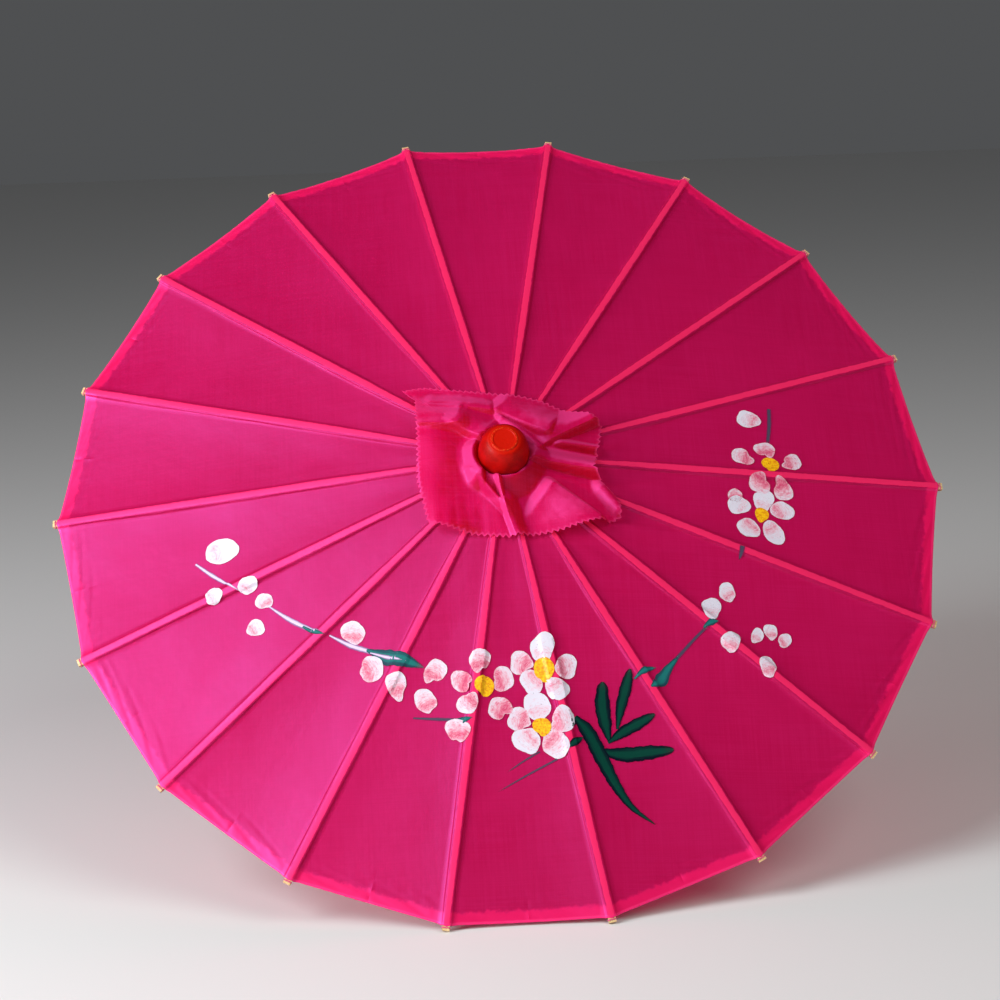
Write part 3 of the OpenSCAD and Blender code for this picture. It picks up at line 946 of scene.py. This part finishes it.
def curve(lengths, values, at):
    """A smooth line through a few values."""
    slopes = np.gradient(values, lengths)
    i = np.clip(np.searchsorted(lengths, at, side="right") - 1, 0, len(lengths) - 2)
    gap = lengths[i + 1] - lengths[i]
    t = (at - lengths[i]) / gap
    return ((2 * t ** 3 - 3 * t ** 2 + 1) * values[i] + (t ** 3 - 2 * t ** 2 + t) * gap * slopes[i]
            + (-2 * t ** 3 + 3 * t ** 2) * values[i + 1] + (t ** 3 - t ** 2) * gap * slopes[i + 1])


# Brush strokes: (paint, layer, route, widths along it, tone)
STROKES = [
    ("pale_twig", "twig", [(-191, -41), (-180, -51), (-164, -64)], [1.6, 2.8, 1.0], 0.2),
    ("pale_twig", "twig", [(-148, -74), (-132, -87), (-114, -98)], [0.8, 3.4, 2.4], 0.3),
    ("teal", "leaf", [(-126, -91), (-119, -96), (-113, -98)], [1.2, 3.0, 0.8], 0.6),
    ("pale_twig", "twig", [(-110, -99), (-98, -106), (-84, -112), (-64, -120)], [1.0, 3.6, 3.0, 1.5], 0.5),
    ("teal", "leaf", [(-88, -110), (-76, -116), (-66, -119), (-54, -124)], [1.5, 10.0, 8.5, 1.0], 0.4),
    ("pale_twig", "leaf", [(-86, -112), (-76, -116), (-67, -119)], [0.8, 2.6, 0.8], 0.1),
    ("dark_twig", "twig", [(-62, -153), (-46, -155), (-30, -157)], [1.0, 2.0, 1.4], 0.8),
    ("teal", "leaf", [(-40, -156), (-33, -157), (-27, -156)], [1.0, 4.0, 1.0], 0.9),
    ("dark_twig", "twig", [(12, -177), (2, -182), (-8, -188)], [1.0, 1.0, 0.4], 0.9),
    ("dark_twig", "twig", [(22, -182), (4, -190), (-14, -199)], [1.2, 1.1, 0.4], 0.9),
    ("dark_twig", "twig", [(83, -139), (101, -120), (112, -109), (121, -101)], [3.5, 2.2, 1.8, 2.0], 0.7),
    ("teal", "leaf", [(71, -136), (78, -131), (85, -129)], [0.8, 4.2, 1.0], 0.7),
    ("teal", "leaf", [(81, -141), (87, -137), (92, -130), (99, -122)], [1.0, 8.5, 5.0, 1.5], 0.5),
    ("teal", "leaf", [(116, -104), (121, -101), (126, -100)], [1.0, 4.6, 1.0], 0.3),
    ("dark_twig", "twig", [(145, -51), (144, -55), (142, -60)], [3.2, 3.0, 0.6], 0.8),
    ("dark_twig", "twig", [(173, 49), (172, 38), (169, 22)], [2.6, 2.8, 2.2], 0.8),
    ("leaf", "leaf", [(34, -158), (40, -165), (48, -181), (56, -198), (64, -210), (78, -221)],
     [3.0, 8.5, 9.0, 6.5, 3.8, 0.6], 0.2),
    ("leaf", "leaf", [(54, -173), (52, -162), (51, -150), (52, -137)], [1.5, 8.0, 9.4, 5.5], 0.4),
    ("leaf", "leaf", [(59, -165), (62, -152), (66, -140), (69, -130)], [1.5, 6.4, 7.2, 3.6], 0.6),
    ("leaf", "leaf", [(53, -173), (62, -167), (72, -162), (82, -157)], [1.5, 6.6, 7.0, 3.6], 0.8),
    ("leaf", "leaf", [(47, -178), (62, -180), (78, -179), (92, -178)], [3.0, 8.8, 8.2, 4.0], 0.3),
    ("leaf", "leaf", [(27, -164), (31, -162), (36, -159)], [1.0, 5.0, 2.0], 0.5),
    ("leaf", "leaf", [(29, -176), (33, -173), (38, -170)], [1.0, 5.0, 2.0], 0.7),
]

# Petals that stand alone: (x, y, width, length, angle in degrees, tone from white to pink)
LOOSE_PETALS = [
    (-175, -35, 16, 22, 20, 0.05), (-159, -61, 11, 12, 60, 0.15), (-180, -65, 10, 12, 40, 0.1),
    (-149, -72, 10, 11, 120, 0.35), (-155, -88, 10, 12, 30, 0.3), (-96, -99, 14, 15, 80, 0.45),
    (-86, -122, 15, 16, 20, 0.55), (-71, -134, 13, 16, 100, 0.45), (-48, -127, 13, 15, 60, 0.55),
    (-54, -144, 13, 15, 110, 0.5), (-36, -163, 14, 15, 90, 0.65), (-10, -151, 13, 15, 150, 0.7),
    (122, -92, 12, 14, 100, 0.05), (133, -81, 11, 12, 120, 0.3), (132, -113, 11, 14, 80, 0.35),
    (149, -108, 8, 10, 60, 0.25), (158, -105, 9, 10, 90, 0.35), (166, -110, 8, 10, 30, 0.4),
    (154, -128, 11, 13, 100, 0.4), (159, 40, 12, 16, 160, 0.3), (144, -16, 9, 10, 100, 0.8),
]

# Flowers: the centre, the petals as (x, y, width, length, tone), and the size of the yellow middle
FLOWERS = [
    ((-19, -138), [(-21, -123, 13, 14, 0.6), (-8, -134, 14, 14, 0.6), (-32, -134, 12, 14, 0.75),
                   (-29, -147, 13, 13, 0.55)], (11.5, 12.5)),
    ((17, -130), [(17, -117, 15, 17, 0.0), (4, -125, 13, 15, 0.55), (30, -128, 14, 15, 0.5),
                  (10, -136, 14, 15, 0.3), (24, -141, 13, 15, 0.25)], (12, 15)),
    ((14, -163), [(12, -151, 17, 16, 0.1), (1, -158, 13, 15, 0.5), (26, -160, 15, 16, 0.45),
                  (5, -170, 16, 16, 0.2), (21, -173, 16, 17, 0.45)], (11, 11)),
    ((160, -28), [(146, -22, 13, 14, 0.0), (162, -18, 13, 15, 0.05), (173, -24, 13, 15, 0.4),
                  (166, -39, 14, 16, 0.25), (151, -37, 14, 14, 0.35)], (9, 10)),
    ((169, 7), [(152, 12, 12, 14, 0.6), (167, 18, 13, 12, 0.65), (183, 10, 11, 14, 0.6),
                (161, -6, 13, 15, 0.7), (175, -9, 13, 15, 0.7)], (11, 11)),
]


def make_painting():
    p = Painting()
    for stroke in STROKES:
        p.sweep(*stroke)
    for x, y, width, length, angle, tone in LOOSE_PETALS:
        p.dab("petal", (x, y), (width, length), math.radians(angle), tone)
    for centre, petals, pollen in FLOWERS:
        p.flower(centre, petals, pollen)
    p.make({
        "petal": petal_material(),
        "pollen": pollen_material(),
        "leaf": stroke_material("leaf_paint", rgb(0, 58, 46), rgb(0, 8, 26), 0.1),
        "teal": stroke_material("teal_paint", rgb(28, 110, 106), rgb(30, 62, 76), 0.55),
        "pale_twig": stroke_material("pale_twig_paint", rgb(214, 196, 226), rgb(134, 90, 136), 0.6),
        "dark_twig": stroke_material("dark_twig_paint", rgb(72, 66, 84), rgb(110, 40, 84), 0.8),
    })


# ---- thread ties at the rib tips ----

TIE_TURNS = 2
THREAD_R = 0.2
TURN_STEPS, THREAD_SIDES = 28, 7
TIP_HALF_W, TIP_HALF_H = 2.2, 1.4
TIE_OUT = 1.1  # past the rim


def tip_tie(k):
    """Thread wound round rib k just outside the hem."""
    way = np.append(rib_direction(k), 0.0)
    along = np.array([*(way[:2] * math.cos(SLOPE)), -math.sin(SLOPE)])
    across = np.cross([0, 0, 1.0], way)
    out = np.cross(along, across)
    wide, tall = TIP_HALF_W + THREAD_R, TIP_HALF_H + THREAD_R
    centre = way * CLOTH_R + np.array([0, 0, -CLOTH_R * math.tan(SLOPE) - TIP_HALF_H]) + along * TIE_OUT
    steps, sides = TIE_TURNS * TURN_STEPS, THREAD_SIDES
    points, uv, route = [], [], []
    for i in range(steps + 1):
        a = 2 * math.pi * i * TIE_TURNS / steps
        corner = (abs(math.cos(a)) ** 5 + abs(math.sin(a)) ** 5) ** -0.2
        route.append(centre + across * math.cos(a) * wide * corner + out * math.sin(a) * tall * corner
                     + along * i / steps * TIE_TURNS * 2 * THREAD_R * 0.9)
    route = np.array(route)
    ahead = np.gradient(route, axis=0)
    for i, (at, step) in enumerate(zip(route, ahead)):
        # u and v span the thread's section
        step = step / np.linalg.norm(step)
        u = np.cross(step, along)
        u /= np.linalg.norm(u)
        v = np.cross(step, u)
        for j in range(sides):
            b = 2 * math.pi * j / sides
            points.append(at + THREAD_R * (u * math.cos(b) + v * math.sin(b)))
            uv.append((i * 0.35, j / sides * 2))
    faces = grid_faces(len(route), sides, True)
    faces += [tuple(range(sides))[::-1], tuple(range(len(points) - sides, len(points)))]
    tie = make_piece(f"tip_tie_{k:02d}", points, faces, {"stroke": uv})
    tie.data.materials.append(THREADS)
    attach(tie, f"rib_{k:02d}")


# ---- the stage, the lights and the camera ----

FLOOR_HALF = 6.0  # half the floor's width, in metres


def make_floor():
    s = Shader("pale_floor")
    s.finish(s.principled({"Base Color": (0.8, 0.79, 0.77, 1.0), "Roughness": 0.7}))
    mesh = bpy.data.meshes.new("floor")
    corners = [(x * FLOOR_HALF, y * FLOOR_HALF, 0) for x, y in ((-1, -1), (1, -1), (1, 1), (-1, 1))]
    mesh.from_pydata(corners, [], [(0, 1, 2, 3)])
    mesh.materials.append(s.material)
    floor = bpy.data.objects.new("floor", mesh)
    bpy.context.scene.collection.objects.link(floor)


def make_light(name, way, distance, size, power, colour, gloss=True):
    """A soft light that stands off from the apex along way; without gloss it leaves no shine on the cloth."""
    lamp = bpy.data.lights.new(name, "AREA")
    lamp.shape, lamp.size, lamp.energy, lamp.color = "DISK", size, power, colour
    light = bpy.data.objects.new(name, lamp)
    light.visible_glossy = gloss
    way = Vector(way).normalized()
    light.location = Vector(APEX) + way * distance
    light.rotation_mode = "QUATERNION"
    light.rotation_quaternion = way.to_track_quat("Z", "Y")
    bpy.context.scene.collection.objects.link(light)


def make_lights():
    make_light("key", (-0.88, -0.45, 0.16), 1.7, 0.6, 27, (0.97, 0.97, 1.0))
    make_light("window", (-0.62, -0.50, 0.60), 2.0, 0.9, 22, (0.92, 0.95, 1.0))
    make_light("fill", (0.55, -0.60, 0.75), 2.4, 1.6, 24, (1.0, 0.98, 0.96), gloss=False)
    world = bpy.data.worlds.new("studio")
    world.use_nodes = True
    backdrop = world.node_tree.nodes["Background"]
    backdrop.inputs["Color"].default_value = (0.78, 0.8, 0.83, 1.0)
    backdrop.inputs["Strength"].default_value = 0.1
    bpy.context.scene.world = world
    # the dyes are more saturated than the default view transform can show
    bpy.context.scene.view_settings.view_transform = "Standard"


CAMERA_DISTANCE = 1.579  # from the apex
CAMERA_SIDE, CAMERA_HEIGHT = math.radians(-2.85), math.radians(10.40)
AIM_SIDE, AIM_DOWN, ROLL = math.radians(0.11), math.radians(0.98), math.radians(-1.90)


def facing(side, height):
    """The direction from the apex to a place in front, turned to one side and raised."""
    return Vector((math.sin(side) * math.cos(height), -math.cos(side) * math.cos(height), math.sin(height)))


def make_camera():
    """The photographed view: in front, a little above, aimed just under the finial."""
    lens = bpy.data.cameras.new("camera")
    lens.sensor_width, lens.lens = 36.0, 93.3
    camera = bpy.data.objects.new("camera", lens)
    camera.location = Vector(APEX) + facing(CAMERA_SIDE, CAMERA_HEIGHT) * CAMERA_DISTANCE
    forward = -facing(CAMERA_SIDE + AIM_SIDE, CAMERA_HEIGHT + AIM_DOWN)
    right = forward.cross(Vector((0, 0, 1))).normalized()
    up = right.cross(forward)
    turned_right = right * math.cos(ROLL) + up * math.sin(ROLL)
    turned_up = up * math.cos(ROLL) - right * math.sin(ROLL)
    camera.matrix_world = Matrix.Translation(camera.location) @ Matrix(
        (turned_right, turned_up, -forward)).transposed().to_4x4()
    bpy.context.scene.collection.objects.link(camera)
    bpy.context.scene.camera = camera


make_camera()
make_lights()
make_floor()
finish_frame()
make_canopy()
crown("canopy_crown", 6.0, CROWN_R + 0.3, 0.3, CLOTH, "cloth", (20.0, 20.0), "canopy")
make_collar()
crown("collar_crown", 7.0, COLLAR_START + 0.5, 1.1, COLLAR, "collar", (20.0, 0.0),
      "collar_patch")
make_painting()
for rib_number in range(1, RIBS + 1):
    tip_tie(rib_number)
